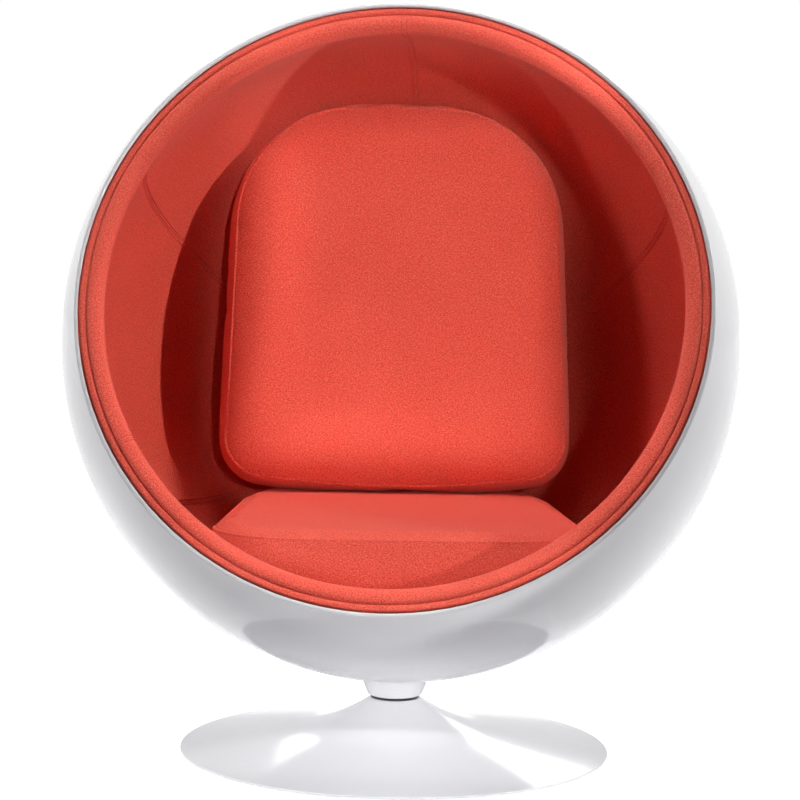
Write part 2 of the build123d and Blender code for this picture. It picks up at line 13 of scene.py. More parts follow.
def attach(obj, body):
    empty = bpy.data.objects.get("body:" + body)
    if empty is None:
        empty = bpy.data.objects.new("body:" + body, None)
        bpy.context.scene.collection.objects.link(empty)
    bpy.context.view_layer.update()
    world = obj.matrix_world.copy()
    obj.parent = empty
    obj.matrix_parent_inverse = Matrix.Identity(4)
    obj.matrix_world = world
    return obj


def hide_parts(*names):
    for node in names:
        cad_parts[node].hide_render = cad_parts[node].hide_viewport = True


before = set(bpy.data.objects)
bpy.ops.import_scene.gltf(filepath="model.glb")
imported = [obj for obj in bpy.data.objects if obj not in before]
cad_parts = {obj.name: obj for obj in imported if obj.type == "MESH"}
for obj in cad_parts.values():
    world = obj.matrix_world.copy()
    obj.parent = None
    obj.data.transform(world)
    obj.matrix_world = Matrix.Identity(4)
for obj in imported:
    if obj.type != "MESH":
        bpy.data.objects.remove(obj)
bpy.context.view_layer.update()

# Ball and mouth
BALL_CENTRE = np.array((0.0, 0.0, 0.660))
SHELL_INNER = 0.533
MOUTH_TILT = radians(21.0)
MOUTH_OFFSET = 0.230

# Padded liner
LINER_OUTER = 0.5327
LINER_INNER = 0.491
LINER_FILL = 0.9
PANEL_COUNT = 6
PANEL_TURN = 2 * pi / PANEL_COUNT
FIRST_SEAM = radians(30.0)
LIP_ROUND = 0.018
LIP_PROUD = 0.002
DISH_ANGLE = radians(134.0)
DISH_GAP = 0.0001
PIECE_EDGE = radians(65.0)

# Points of the liner's section and of the dish, and columns of a gore between its seams
SHOULDER_POINTS = 10
LIP_POINTS = 26
WALL_POINTS = 70
BACK_POINTS = 24
DISH_POINTS = 60
DISH_COLUMNS = 180
MIDDLE_COLUMNS = 30

# Distances of a gore's fine columns from a seam, in millimetres
MILLIMETRE = 0.001
NEAR_SEAM = (0.1, 0.5, 0.9, 1.3, 1.8, 2.4, 3.0, 3.4, 3.8, 4.2, 4.6, 5.0, 5.5, 6.3, 7.4, 9, 11.5, 15, 20, 28)

# Unevenness of the foam, with waves by their number round the mouth, along its axis and their phase
MEAN_DIP = 0.00075
LEVEL_REACH = 0.05
FOAM_WAVES = ((7, 31, 0.0), (13, -19, 1.7), (3, 23, 0.0))

# Stitches beside the liner's seams
STITCH_OFFSET = 0.0042
STITCH_LENGTH = 0.0046
STITCH_PITCH = 0.0062
STITCH_RADIUS = 0.00055
STITCH_SUNK = 0.0006
STITCH_START = 0.010
STITCH_STOP = 0.02
THREAD_RINGS = 6
THREAD_SIDES = 6
THREAD_TIP = 0.02
THREAD_SAG = 1.2

# Folds along a seam of the liner: distance from the seam, depth and width
SEAM_CREASE = (0.0, 0.0014, 0.0010)
SEAM_PULL = (STITCH_OFFSET, 0.0010, 0.0009)
SEAM_DRAW = (0.0, 0.0004, 0.012)
SEAM_RIDGE = (0.0022, 0.0003, 0.0009)

# Share of these folds on the lip, and the stretches over which they grow on the wall and by the groove
LIP_SHARE = 0.35
WALL_START = 0.045
WALL_GROWTH = 0.02
GROOVE_GROWTH = 0.006

# Welt round the rim
WELT_WIDTH = 0.0104
WELT_DEPTH = 0.0085
WELT_GAP = 0.0006
GROOVE_GAP = 0.0003
WELT_ROUND = 0.004
WELT_JOINT = radians(270.0)
WELT_CREASE = (0.0, 0.0016, 0.0008)
WELT_NEAR = (0.0002, 0.0006, 0.001, 0.0015, 0.0022, 0.0034, 0.006)
WELT_POINTS = 9
WELT_COLUMNS = 420
WELT_DIP = 0.0002
WELT_WAVES = (37, 11)

# Cushions
CUSHION_FILL = 0.85
CUSHION_TURN = radians(5.0)
REST_GAP = 0.0012
REST_RADIUS = LINER_INNER - REST_GAP
SEAT_FLOOR = 0.25256
SEAT_BOXING = 0.137
SEAT_CROWN = 0.009
SEAT_SAG = 0.05
SEAT_CLEARANCE = 0.0004
SEAT_LIMITS = (SEAT_FLOOR - SEAT_SAG, SEAT_FLOOR + SEAT_BOXING + SEAT_CROWN - SEAT_CLEARANCE)
BACK_SHIFT = -0.004
BACK_SETBACK = 0.1441
BACK_RISE = 0.4109
BACK_FOOT = 0.3994
BACK_HEAD = 2.0
BACK_BOXING = 0.120
BACK_CROWN = 0.020
BACK_RECLINE = radians(11.0)
BACK_LIMITS = (BACK_FOOT, BACK_HEAD)

# Ends of the cushions' seam lines: half width, place, bow and corner round
SEAT_FRONT = (0.300, -0.290, 0.010, 0.110)
SEAT_REAR = (0.238, 0.290, 0.0, 0.190)
BACK_LOWER = (0.286, 0.024, 0.026, 0.070)
BACK_UPPER = (0.266, 0.609, 0.034, 0.205)
LEAST_BOW = 1e-4
END_POINTS = 60
CORNER_POINTS = 40

# Panels and boxing of a cushion, with the rows of points along its front seam
BOXING_SWELL = 0.010
BOXING_STEPS = 14
REAR_DRAW = 0.026
REAR_STEP = 0.001
CROWN_REACH = 0.092
PANEL_RINGS = 46
HALF_SIDES = 8
EDGE_ROWS = (0.0062, 0.0048, 0.0036, 0.0026, 0.0017, 0.0009, 0.0)
BOXING_ROWS = (0.0010, 0.0022, 0.0036, 0.0054, 0.0080)
FAR_MARK = 1.0

# Ridge and groove of the front seams, and place and width of the folds that make them
SEAT_SEAM = (0.0006, 0.0010)
BACK_SEAM = (0.0011, 0.0020)
ROLLED_EDGE = (0.0008, 0.0013)
STITCHED_LINE = (0.0036, 0.0008)
UNDER_FOLD = (-0.0022, 0.0010)
UNDER_SHARE = 0.5

# Filling of a cushion by cloth simulation
START_SHRINK = -0.003
SWELL_CAP = 0.005
LEAST_MOVE = 1e-9
SIM_FRAMES = 20
CLOTH_SETTINGS = {
    "quality": 6,
    "mass": 0.3,
    "tension_stiffness": 25,
    "compression_stiffness": 20,
    "shear_stiffness": 10,
    "bending_stiffness": 4,
    "air_damping": 4,
    "use_pressure": True,
    "uniform_pressure_force": 3,
}

# How the weave is laid out: mean radius of a gore, break behind it and girth of a boxing
WEAVE_RADIUS = 0.45
WEAVE_BREAK = 0.04
WEAVE_GIRTH = 2.2

# Wool: streaks of yarn per metre, scale and detail of its noises, and their shares in the tone
YARN_STRETCH = (310.0, 740.0)
YARN_NOISE = (1.0, 1.0)
SPECK_NOISE = (680.0, 1.0)
CLOUD_NOISE = (6.0, 2.0)
YARN_SHARE = 0.32
SPECK_SHARE = 0.30
CLOUD_SHARE = 0.06
TONE_STOPS = (0.375, 0.50, 0.625)
NAP_STRENGTH = 0.6
NAP_DEPTH = 0.0016
WOOL_SURFACE = {
    "Roughness": 0.92,
    "Specular IOR Level": 0.18,
    "Sheen Weight": 0.22,
    "Sheen Roughness": 0.5,
    "Sheen Tint": (1.0, 0.62, 0.52, 1.0),
}

# Coats and metals: scale and detail of their noises, band of noise in use and depth of relief
NOISE_BAND = (0.3, 0.7)
COAT_CLOUDS = (3.0, 3.0)
COAT_WIPES = (9.0, 4.0)
COAT_GRAIN = (150.0, 1.0)
COAT_DEPTH = 0.0004
CLEAR_ROUGHNESS = 0.03
CLEAR_INDEX = 1.6
METAL_MARKS = (40.0, 5.0)
METAL_STRENGTH = 0.15
METAL_DEPTH = 0.0002

# Camera
CAMERA_PLACE = (0.2847, -4.298, 0.9907)
CAMERA_DIP = radians(5.58)
CAMERA_ROLL = radians(1.03)
CAMERA_LENS = 121.4
SENSOR_WIDTH = 36.0

# Lamps: shape, angle from the front, rise, distance, point faced, width, height, roll, spread and watts
LAMPS = {
    "key_left": ("ELLIPSE", -59.0, 8.0, 1.6, (0.05, -0.21, 0.76), 0.48, 1.18, 17.0, 2.4, 0.21),
    "key_right": ("ELLIPSE", 59.0, 8.0, 1.6, (-0.05, -0.21, 0.76), 0.48, 1.18, -17.0, 2.4, 0.66),
    "side_left": ("RECTANGLE", -95.0, 14.0, 3.0, (0.0, 0.0, 0.66), 1.6, 1.4, 0.0, 60.0, 7.2),
    "side_right": ("RECTANGLE", 95.0, 14.0, 3.0, (0.0, 0.0, 0.66), 1.6, 1.4, 0.0, 60.0, 7.8),
    "back_box": ("RECTANGLE", 180.0, 22.0, 3.0, (0.0, 0.0, 0.66), 1.6, 1.4, 0.0, 60.0, 3.5),
    "top_box": ("RECTANGLE", 0.0, 73.0, 3.0, (0.0, 0.0, 0.66), 1.2, 0.9, 0.0, 60.0, 5.2),
    "mouth_grid": ("ELLIPSE", 0.0, 73.0, 3.0, (0.0, -0.23, 0.73), 1.06, 0.62, 0.0, 2.0, 0.66),
    "front_grid": ("RECTANGLE", 13.0, 10.0, 3.0, (0.0, 0.19, 0.752), 0.53, 0.65, 0.0, 4.0, 0.80),
    "roof_grid": ("ELLIPSE", 10.0, -18.0, 2.4, (0.0, -0.10, 1.105), 0.56, 0.17, 0.0, 7.0, 0.08),
    "seat_grid": ("ELLIPSE", 0.0, 38.0, 3.0, (0.0, -0.33, 0.309), 0.86, 0.17, 0.0, 2.0, 0.085),
    "foot_grid": ("ELLIPSE", 0.0, 38.0, 3.0, (0.0, -0.20, 0.03), 0.74, 0.20, 0.0, 2.4, 0.11),
    "low_grid": ("ELLIPSE", 3.8, 7.0, 3.0, (0.0, -0.20, 0.05), 0.86, 0.24, 0.0, 3.0, 0.29),
}

# Lamps that light the cloth alone, so that the white shell doesn't clip when it turns into them
CLOTH_LAMPS = ("mouth_grid", "front_grid", "roof_grid", "seat_grid")

# Floor and backdrop, with the floor's own glow near the chair and far from it
FLOOR_RADIUS = 14.0
FLOOR_SIDES = 96
FLOOR_COLOUR = (0.80, 0.80, 0.82, 1.0)
FLOOR_ROUGHNESS = 0.8
FLOOR_GLOW = (0.84, 1.0)
GLOW_REACH = (0.45, 1.4)
FILL_COLOUR = (0.80, 0.78, 1.0, 1.0)
FILL_LEVEL = 0.03
WHITE = (1.0, 1.0, 1.0, 1.0)

mouth_x = np.array((1.0, 0.0, 0.0))
mouth_y = np.array((0.0, sin(MOUTH_TILT), cos(MOUTH_TILT)))
mouth_z = np.array((0.0, -cos(MOUTH_TILT), sin(MOUTH_TILT)))


def around_mouth(rho, along, phi):
    """Points at distances from and along the mouth's axis, turned by phi about it."""
    rho, along, phi = np.broadcast_arrays(rho, along, phi)
    out = np.cos(phi)[..., None] * mouth_x + np.sin(phi)[..., None] * mouth_y
    return BALL_CENTRE + rho[..., None] * out + along[..., None] * mouth_z


def make_mesh(name, points, faces, uvs=None, crease=None):
    """Smooth mesh object from points and faces, with a uv per point and edges sharp past a crease angle."""
    mesh = bpy.data.meshes.new(name)
    mesh.from_pydata(np.asarray(points).tolist(), [], faces)
    mesh.update()
    mesh.polygons.foreach_set("use_smooth", [True] * len(mesh.polygons))
    if crease is not None:
        mesh.set_sharp_from_angle(angle=crease)
    if uvs is not None:
        corner = np.zeros(len(mesh.loops), dtype=np.int32)
        mesh.loops.foreach_get("vertex_index", corner)
        layer = mesh.uv_layers.new(name="weave")
        layer.data.foreach_set("uv", np.asarray(uvs, dtype=np.float32)[corner].ravel())
    made = bpy.data.objects.new(name, mesh)
    bpy.context.scene.collection.objects.link(made)
    return made


def strip_faces(rows, columns, closed_rows=False, closed_columns=False):
    """Quads of a grid of points kept row after row."""
    faces = []
    for row in range(rows if closed_rows else rows - 1):
        here, below = row * columns, (row + 1) % rows * columns
        for column in range(columns if closed_columns else columns - 1):
            beside = (column + 1) % columns
            faces.append((here + column, here + beside, below + beside, below + column))
    return faces


def end_faces(rows, columns):
    """Faces that close the two ends of a grid whose rows are closed."""
    first = tuple(row * columns for row in range(rows))
    last = tuple((rows - 1 - row) * columns + columns - 1 for row in range(rows))
    return [first, last]


def shifted(faces, start):
    """The same faces on points that begin at another number."""
    return [tuple(start + corner for corner in face) for face in faces]


def grid_uvs(across, run):
    """A uv for each point of a grid, from its place across the columns and along the rows."""
    return np.stack(np.meshgrid(across, run), axis=2).reshape(-1, 2)


def arc(centre, radius, start, end, count):
    """Points of an arc, by angles from the second axis towards the first."""
    turn = np.linspace(start, end, count)
    return np.stack((centre[0] + radius * np.sin(turn), centre[1] + radius * np.cos(turn)), axis=1)


def along_path(points):
    """Distance along a path to each of its points."""
    steps = np.linalg.norm(np.diff(points, axis=0), axis=1)
    return np.concatenate(((0.0,), np.cumsum(steps)))


def fold(reach, place, height, width):
    """Smooth fold across a surface, by its place, height and width."""
    return height * np.exp(-(((reach - place) / width) ** 2))


# Section of the liner: out of the welt's groove, over the lip and back along the wall
lip_front = MOUTH_OFFSET + LIP_PROUD
lip_centre = lip_front - LIP_ROUND
lip_radius = sqrt((LINER_INNER + LIP_ROUND) ** 2 - lip_centre**2)
lip_angle = acos(lip_centre / (LINER_INNER + LIP_ROUND))
welt_outer = sqrt(SHELL_INNER**2 - MOUTH_OFFSET**2) - WELT_GAP
welt_inner = welt_outer - WELT_WIDTH
groove_wall = welt_inner - GROOVE_GAP
groove_floor = MOUTH_OFFSET - WELT_DEPTH
groove_angle = acos(groove_floor / LINER_OUTER)
shoulder = groove_wall - lip_radius
shoulder_centre = lip_front - shoulder
front_section = np.concatenate(
    (
        ((groove_wall, groove_floor), (groove_wall, (groove_floor + shoulder_centre) / 2)),
        arc((lip_radius, shoulder_centre), shoulder, pi / 2, 0, SHOULDER_POINTS),
        arc((lip_radius, lip_centre), LIP_ROUND, 0, lip_angle - pi, LIP_POINTS)[1:],
        arc((0, 0), LINER_INNER, lip_angle, DISH_ANGLE, WALL_POINTS)[1:],
    )
)
back_section = arc((0, 0), LINER_OUTER, DISH_ANGLE, groove_angle, BACK_POINTS)
section_run = along_path(front_section)
section_lead = np.gradient(front_section, axis=0)
section_lead /= np.linalg.norm(section_lead, axis=1)[:, None]
section_inward = np.stack((-section_lead[:, 1], section_lead[:, 0]), axis=1)

# A seam is drawn in along the wall and lies nearly flat over the lip
seam_share = LIP_SHARE + (1 - LIP_SHARE) * np.clip((section_run - WALL_START) / WALL_GROWTH, 0, 1)
seam_share *= np.clip(section_run / GROOVE_GROWTH, 0, 1)


def seam_dip(reach):
    """Depth of the liner's surface at a distance from a seam: crease, stitch pull, draw and ridge."""
    sunk = fold(reach, *SEAM_CREASE) + fold(reach, *SEAM_PULL) + fold(reach, *SEAM_DRAW)
    return sunk - fold(reach, *SEAM_RIDGE)


def undulation(along, phi):
    """Slight unevenness of foam under the cloth, always into the wall."""
    wave = sum(np.sin(around * phi + pitch * along + phase) for around, pitch, phase in FOAM_WAVES)
    return MEAN_DIP * (1 + wave / len(FOAM_WAVES))


def panel_columns(rho):
    """Turn of each column of a gore from its first seam, fine beside the seams, for rows at these radii."""
    edge = np.array(NEAR_SEAM)[None, :] * MILLIMETRE / rho[:, None]
    inner = np.linspace(0, 1, MIDDLE_COLUMNS)[None, 1:-1]
    middle = edge[:, -1:] + inner * (PANEL_TURN - 2 * edge[:, -1:])
    return np.concatenate((edge, middle, PANEL_TURN - edge[:, ::-1]), axis=1)


def liner_panel(index):
    """One padded gore, closed at its back and its ends, drawn in along its two seams."""
    start = FIRST_SEAM + index * PANEL_TURN
    turn = panel_columns(front_section[:, 0])
    reach = np.minimum(turn, PANEL_TURN - turn) * front_section[:, :1]
    level = np.clip((section_run[-1] - section_run) / LEVEL_REACH, 0, 1)[:, None]
    dip = seam_dip(reach) + undulation(front_section[:, 1:], turn + start) * level + MEAN_DIP * (1 - level)
    dip *= seam_share[:, None]
    rho = front_section[:, :1] - dip * section_inward[:, :1]
    along = front_section[:, 1:] - dip * section_inward[:, 1:]
    front = around_mouth(rho, along, turn + start)
    back_turn = np.repeat(turn[-1:], len(back_section), axis=0)
    back = around_mouth(back_section[:, :1], back_section[:, 1:], back_turn + start)
    points = np.concatenate((front, back))
    rows, columns = points.shape[:2]
    faces = strip_faces(rows, columns, closed_rows=True) + end_faces(rows, columns)
    run = np.concatenate((section_run, section_run[-1] + along_path(back_section) + WEAVE_BREAK))
    uvs = grid_uvs(turn.mean(axis=0) * WEAVE_RADIUS, run)
    return make_mesh(f"liner_gore_{index + 1}", points.reshape(-1, 3), faces, uvs, PIECE_EDGE)


def thread(start, end, normal):
    """Points of one stitch: a short rounded rod whose ends dip into the cloth."""
    lead = end - start
    length = np.linalg.norm(lead)
    lead = lead / length
    across = np.cross(normal, lead)
    ends = np.linspace(-1, 1, THREAD_RINGS)
    bulge = np.sqrt(np.clip(1 - np.abs(ends) ** 4, THREAD_TIP, 1))
    turn = np.arange(THREAD_SIDES) * 2 * pi / THREAD_SIDES
    ring = np.cos(turn)[:, None] * across + np.sin(turn)[:, None] * normal
    middle = (start + end) / 2 + lead * (ends * length / 2)[:, None]
    sag = -(ends**2) * STITCH_RADIUS * THREAD_SAG
    rod = middle[:, None, :] + sag[:, None, None] * normal
    return rod + bulge[:, None, None] * STITCH_RADIUS * ring[None, :, :]


def stitch_end(run, seam, side):
    """Place of a stitch's end beside a seam, and the way out of the cloth there."""
    rho, along = (np.interp(run, section_run, front_section[:, axis]) for axis in (0, 1))
    rho_in, along_in = (np.interp(run, section_run, section_inward[:, axis]) for axis in (0, 1))
    phi = FIRST_SEAM + seam * PANEL_TURN + side * STITCH_OFFSET / rho
    sunk = (float(seam_dip(np.array(STITCH_OFFSET))) + STITCH_SUNK) * np.interp(run, section_run, seam_share)
    place = around_mouth(rho - sunk * rho_in, along - sunk * along_in, phi)
    normal = around_mouth(rho + rho_in, along + along_in, phi) - around_mouth(rho, along, phi)
    return place, normal / np.linalg.norm(normal)


def topstitch(name):
    """Two rows of stitches beside every seam of the liner, from the lip to the dish."""
    points, faces = [], []
    corners = THREAD_RINGS * THREAD_SIDES
    rod_faces = strip_faces(THREAD_RINGS, THREAD_SIDES, closed_columns=True)
    rod_faces.append(tuple(range(THREAD_SIDES - 1, -1, -1)))
    rod_faces.append(tuple(range(corners - THREAD_SIDES, corners)))
    first = np.searchsorted(section_run, STITCH_START)
    stations = np.arange(section_run[first], section_run[-1] - STITCH_STOP, STITCH_PITCH)
    for seam in range(PANEL_COUNT):
        for side in (-1, 1):
            for station in stations:
                start, _ = stitch_end(station, seam, side)
                end, normal = stitch_end(station + STITCH_LENGTH, seam, side)
                faces += shifted(rod_faces, len(points) * corners)
                points.append(thread(start, end, normal).reshape(-1, 3))
    return make_mesh(name, np.concatenate(points), faces)


def liner_dish():
    """Padded dish behind the gores, flush with them along its ring seam."""
    start = DISH_ANGLE + DISH_GAP / LINER_INNER
    front = arc((0, 0), LINER_INNER, start, pi, DISH_POINTS)
    front *= 1 + MEAN_DIP / LINER_INNER
    back = arc((0, 0), LINER_OUTER, pi, start, BACK_POINTS)
    turn = np.arange(DISH_COLUMNS) * 2 * pi / DISH_COLUMNS
    section = np.concatenate((front[:-1], back[1:]))
    points = around_mouth(section[:, :1], section[:, 1:], turn[None, :]).reshape(-1, 3)
    poles = around_mouth(np.zeros(2), np.array((front[-1, 1], back[0, 1])), np.zeros(2))
    rows, split = len(section), len(front) - 1
    first_back = split * DISH_COLUMNS
    last_front = first_back - DISH_COLUMNS
    last_back = (rows - 1) * DISH_COLUMNS
    front_pole, back_pole = rows * DISH_COLUMNS, rows * DISH_COLUMNS + 1
    faces = strip_faces(split, DISH_COLUMNS, closed_columns=True)
    faces += shifted(strip_faces(rows - split, DISH_COLUMNS, closed_columns=True), first_back)
    for column in range(DISH_COLUMNS):
        beside = (column + 1) % DISH_COLUMNS
        faces.append((last_front + column, last_front + beside, front_pole))
        faces.append((first_back + beside, first_back + column, back_pole))
        faces.append((column, last_back + column, last_back + beside, beside))
    uvs = np.concatenate(((points - BALL_CENTRE) @ np.stack((mouth_x, mouth_y), axis=1), np.zeros((2, 2))))
    return make_mesh("liner_back_dish", np.concatenate((points, poles)), faces, uvs, PIECE_EDGE)


def rim_welt():
    """Flat fabric welt round the rim, its two ends butted together at the bottom."""
    low = groove_floor + GROOVE_GAP
    high = low + WELT_DEPTH
    section = np.concatenate(
        (
            ((welt_outer, low), (welt_inner, low)),
            arc((welt_inner + WELT_ROUND, high - WELT_ROUND), WELT_ROUND, -pi / 2, 0, WELT_POINTS),
            arc((welt_outer - WELT_ROUND, high - WELT_ROUND), WELT_ROUND, 0, pi / 2, WELT_POINTS),
        )
    )
    near = np.array(WELT_NEAR) / welt_inner
    middle = np.linspace(near[-1], 2 * pi - near[-1], WELT_COLUMNS)[1:-1]
    turn = np.concatenate((near, middle, 2 * pi - near[::-1]))
    reach = np.minimum(turn, 2 * pi - turn) * welt_inner
    wave = np.sin(WELT_WAVES[0] * turn) * np.sin(WELT_WAVES[1] * turn)
    dip = fold(reach, *WELT_CREASE) + WELT_DIP * (1 + wave)
    top = np.clip((section[:, 1] - low) / WELT_DEPTH, 0, 1)
    along = section[:, 1:] - dip[None, :] * top[:, None]
    points = around_mouth(section[:, :1], along, turn[None, :] + WELT_JOINT)
    rows, columns = points.shape[:2]
    faces = strip_faces(rows, columns, closed_rows=True) + end_faces(rows, columns)
    uvs = grid_uvs(turn * welt_inner, along_path(section))
    return make_mesh("rim_welt_band", points.reshape(-1, 3), faces, uvs, PIECE_EDGE)


def half_outline(low, high):
    """Right half of a cushion's outline, from the middle of its lower end to the middle of its upper one."""
    lead = np.array((high[0] - low[0], high[1] - low[1]))
    lead /= np.linalg.norm(lead)
    inward = np.array((-lead[1], lead[0]))
    runs = []
    for (half, y, bow, corner), way in ((low, -1), (high, 1)):
        bow = max(bow, LEAST_BOW)
        radius = (half**2 + bow**2) / (2 * bow)
        centre = np.array((0.0, y + way * (bow - radius)))
        base = np.array((half, y)) + inward * corner - centre
        middle = -base @ lead
        spread = sqrt((radius - corner) ** 2 - base @ base + middle**2)
        round_centre = centre + base + lead * (middle + way * spread)
        touch = (round_centre - centre) / np.linalg.norm(round_centre - centre)
        edge_end = atan2(touch[0], way * touch[1])
        sweep = np.linspace(0, edge_end, END_POINTS)
        edge = centre + radius * np.stack((np.sin(sweep), way * np.cos(sweep)), axis=1)
        line_turn = atan2(-inward[0], way * -inward[1])
        sweep = np.linspace(edge_end, line_turn, CORNER_POINTS)[1:]
        bend = round_centre + corner * np.stack((np.sin(sweep), way * np.cos(sweep)), axis=1)
        runs.append(np.concatenate((edge, bend)))
    return np.concatenate((runs[0], runs[1][::-1]))


def outline(low, high, fractions):
    """Points of an outline at fractions of its length, from the middle of the lower end to the right."""
    half = half_outline(low, high)
    whole = np.concatenate((half, half[-2::-1] * np.array((-1.0, 1.0))))
    run = along_path(whole)
    wanted = np.asarray(fractions) * run[-1]
    return np.stack([np.interp(wanted, run, whole[:, axis]) for axis in (0, 1)], axis=-1)


def drawn_in(end, inset, way):
    """An end of an outline, drawn in all round."""
    half, place, bow, corner = end
    return half - inset, place - way * inset, bow, corner * (half - inset) / half


def seat_outline(inset, fractions):
    """Plan of the seat cushion, drawn in from its seam line."""
    return outline(drawn_in(SEAT_FRONT, inset, -1), drawn_in(SEAT_REAR, inset, 1), fractions)


def back_outline(inset, fractions):
    """Face of the back cushion, drawn in from its seam line."""
    return outline(drawn_in(BACK_LOWER, inset, -1), drawn_in(BACK_UPPER, inset, 1), fractions)


cushion_x = np.array((cos(CUSHION_TURN), sin(CUSHION_TURN), 0.0))
cushion_y = np.array((-sin(CUSHION_TURN), cos(CUSHION_TURN), 0.0))
upward = np.array((0.0, 0.0, 1.0))
back_up = sin(BACK_RECLINE) * cushion_y + cos(BACK_RECLINE) * upward
back_out = sin(BACK_RECLINE) * upward - cos(BACK_RECLINE) * cushion_y
back_origin = BACK_SHIFT * cushion_x + BACK_SETBACK * cushion_y + BACK_RISE * upward


def place_seat(flat, height):
    """Points of the seat cushion from its plan and the height above its seam line."""
    rise = SEAT_FLOOR + SEAT_BOXING + np.broadcast_to(height, flat.shape[:1])
    return flat[:, :1] * cushion_x + flat[:, 1:] * cushion_y + rise[:, None] * upward


def place_back(flat, depth):
    """Points of the back cushion from its face and the distance in front of its seam line."""
    out = np.broadcast_to(depth, flat.shape[:1])
    return back_origin + flat[:, :1] * cushion_x + flat[:, 1:] * back_up + out[:, None] * back_out


def square_rings(rings):
    """Ring and fraction round it for each point of a square grid, and the outer ring in order."""
    steps = np.arange(-rings, rings + 1)
    a, b = (grid.ravel() for grid in np.meshgrid(steps, steps, indexing="ij"))
    ring = np.maximum(np.abs(a), np.abs(b))
    size = np.maximum(ring, 1)
    half_sides_passed = np.select(
        ((b == -ring) & (a >= 0), a == ring, b == ring, a == -ring),
        (a / size, 2 + b / size, 4 - a / size, 6 - b / size),
        HALF_SIDES + a / size,
    )
    fraction = half_sides_passed / HALF_SIDES
    outer = np.flatnonzero(ring == rings)
    return ring, fraction, outer[np.argsort(fraction[outer])]


def boxing_inset(step):
    """How far the boxing lies inside the seam line, from its drawn-in rear edge to the seam."""
    return float(REAR_DRAW * (1 - step) ** 3 - BOXING_SWELL * np.sin(pi * step))


def cushion_mesh(name, shape, place, boxing, crown, shrink):
    """Boxed cushion: crowned front, swelling boxing and flat rear, with fine rows along the front seam."""
    ring, fraction, order = square_rings(PANEL_RINGS)
    count = len(order)
    evenly = np.arange(count) / count
    middle = shape(0.0, np.array((0.0, 0.5))).mean(axis=0)
    blocks, marks, uvs = [], [], []

    def add_row(inset, depth, mark, run):
        blocks.append(place(shape(inset + shrink, evenly), depth))
        marks.append(np.full(count, mark))
        uvs.append(np.stack((evenly * WEAVE_GIRTH, np.full(count, run)), axis=1))

    def add_panel(inset, depth_at, mark):
        edge = shape(inset + shrink, fraction)
        flat = middle + (ring / PANEL_RINGS)[:, None] * (edge - middle)
        gap = np.linalg.norm(edge - flat, axis=1) + inset
        blocks.append(place(flat, depth_at(gap)))
        marks.append(np.where(ring == PANEL_RINGS, mark, FAR_MARK))
        uvs.append(flat)

    def dome(gap):
        share = np.clip(gap / CROWN_REACH, 0, 1)
        return (crown - shrink) * (1 - (1 - share) ** 2)

    add_panel(EDGE_ROWS[0], dome, EDGE_ROWS[0])
    for inset in EDGE_ROWS[1:]:
        add_row(inset, dome(np.array(inset)), inset, -inset)
    drops = list(BOXING_ROWS) + list(np.linspace(BOXING_ROWS[-1], boxing, BOXING_STEPS)[1:])
    for drop in drops:
        add_row(boxing_inset(1 - drop / boxing), -drop * (1 - shrink / boxing), -drop, drop)
    add_panel(boxing_inset(0.0) + REAR_STEP, lambda gap: np.full(len(gap), shrink - boxing), FAR_MARK)

    side = 2 * PANEL_RINGS + 1
    rows = len(EDGE_ROWS) - 1 + len(drops)
    start = side * side
    last = start + (rows - 1) * count
    rear = start + rows * count
    panel = [face[::-1] for face in strip_faces(side, side)]
    strips = [face[::-1] for face in strip_faces(rows, count, closed_columns=True)]
    faces = panel + shifted(strips, start) + shifted([face[::-1] for face in panel], rear)
    order = order.tolist()
    for column in range(count):
        beside = (column + 1) % count
        faces.append((order[column], start + column, start + beside, order[beside]))
        faces.append((last + column, rear + order[column], rear + order[beside], last + beside))
    return make_mesh(name, np.concatenate(blocks), faces, np.concatenate(uvs)), np.concatenate(marks)


def coordinates(mesh):
    """Vertex places of a mesh as an array."""
    places = np.zeros(len(mesh.vertices) * 3, dtype=np.float32)
    mesh.vertices.foreach_get("co", places)
    return places.reshape(-1, 3).astype(float)


def normals(mesh):
    """Vertex normals of a mesh as an array."""
    found = np.zeros(len(mesh.vertices) * 3, dtype=np.float32)
    mesh.vertex_normals.foreach_get("vector", found)
    return found.reshape(-1, 3).astype(float)


def set_coordinates(made, places):
    """Moves a mesh's vertices to these places."""
    made.data.vertices.foreach_set("co", places.astype(np.float32).ravel())
    made.data.update()


def keep_clear(made, lowest, highest):
    """Keeps a cushion off the liner and between the heights that it rests on and carries."""
    out = coordinates(made.data) - BALL_CENTRE
    reach = np.linalg.norm(out, axis=1)
    places = BALL_CENTRE + out * np.minimum(1, REST_RADIUS / reach)[:, None]
    places[:, 2] = np.clip(places[:, 2], lowest, highest)
    set_coordinates(made, places)


def swell(made):
    """Fills a cushion by cloth simulation with air pressure, no point moving further than the cap."""
    before = coordinates(made.data)
    cloth = made.modifiers.new("fill", "CLOTH")
    for key, value in CLOTH_SETTINGS.items():
        setattr(cloth.settings, key, value)
    cloth.settings.effector_weights.gravity = 0
    cloth.collision_settings.use_collision = False
    scene = bpy.context.scene
    cloth.point_cache.frame_start = 1
    cloth.point_cache.frame_end = SIM_FRAMES
    for number in range(1, SIM_FRAMES + 1):
        scene.frame_set(number)
    filled = made.evaluated_get(bpy.context.evaluated_depsgraph_get())
    moved = coordinates(filled.data) - before
    made.modifiers.remove(cloth)
    scene.frame_set(1)
    length = np.linalg.norm(moved, axis=1)
    limit = SWELL_CAP * np.tanh(length / SWELL_CAP)
    set_coordinates(made, before + moved * (limit / np.maximum(length, LEAST_MOVE))[:, None])


